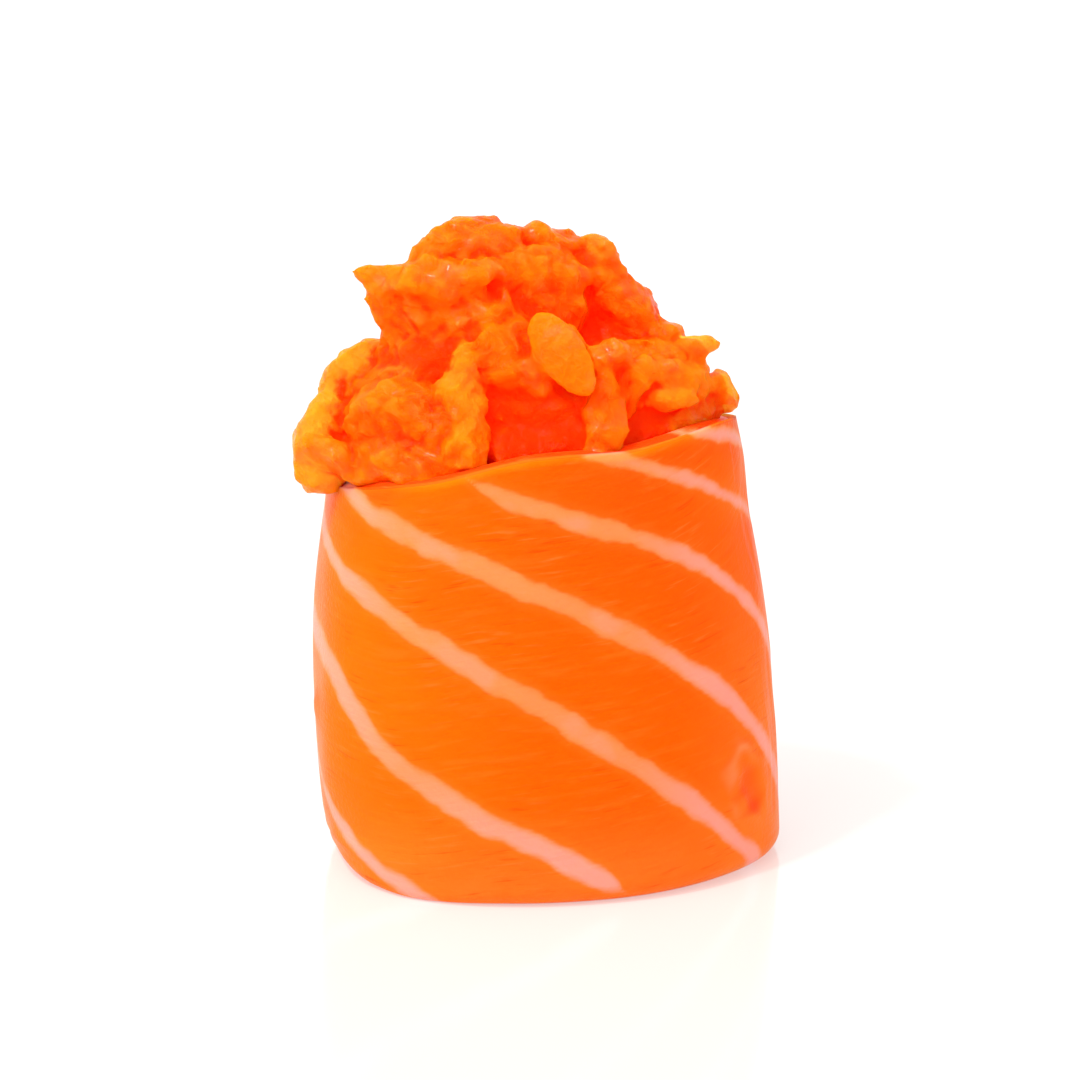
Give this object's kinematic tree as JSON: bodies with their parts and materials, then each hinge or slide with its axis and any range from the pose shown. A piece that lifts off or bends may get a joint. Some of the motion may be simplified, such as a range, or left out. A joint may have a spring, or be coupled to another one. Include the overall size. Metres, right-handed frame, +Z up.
{
  "type": "gunkan sushi",
  "caption": "Upright oval sushi wrapped in a slice of raw salmon with slanting pale fat lines, heaped on top with an uneven mound of minced raw salmon.",
  "frame": {"origin": "centre of the bounding box's bottom, on the surface that the sushi stands on", "axes": "+Z up, X along the oval's long side, the shown side faces -Y"},
  "size_m": [0.0397, 0.0292, 0.0535],
  "materials": {
    "salmon_slice": "moist raw salmon, satin gloss, with paler slanting fat lines",
    "minced_salmon": "wet minced raw salmon, uneven, deeper red in the hollows"
  },
  "bodies": {
    "root": {"salmon_wrap": "salmon_slice", "minced_topping": "minced_salmon"}
  },
  "joints": []
}
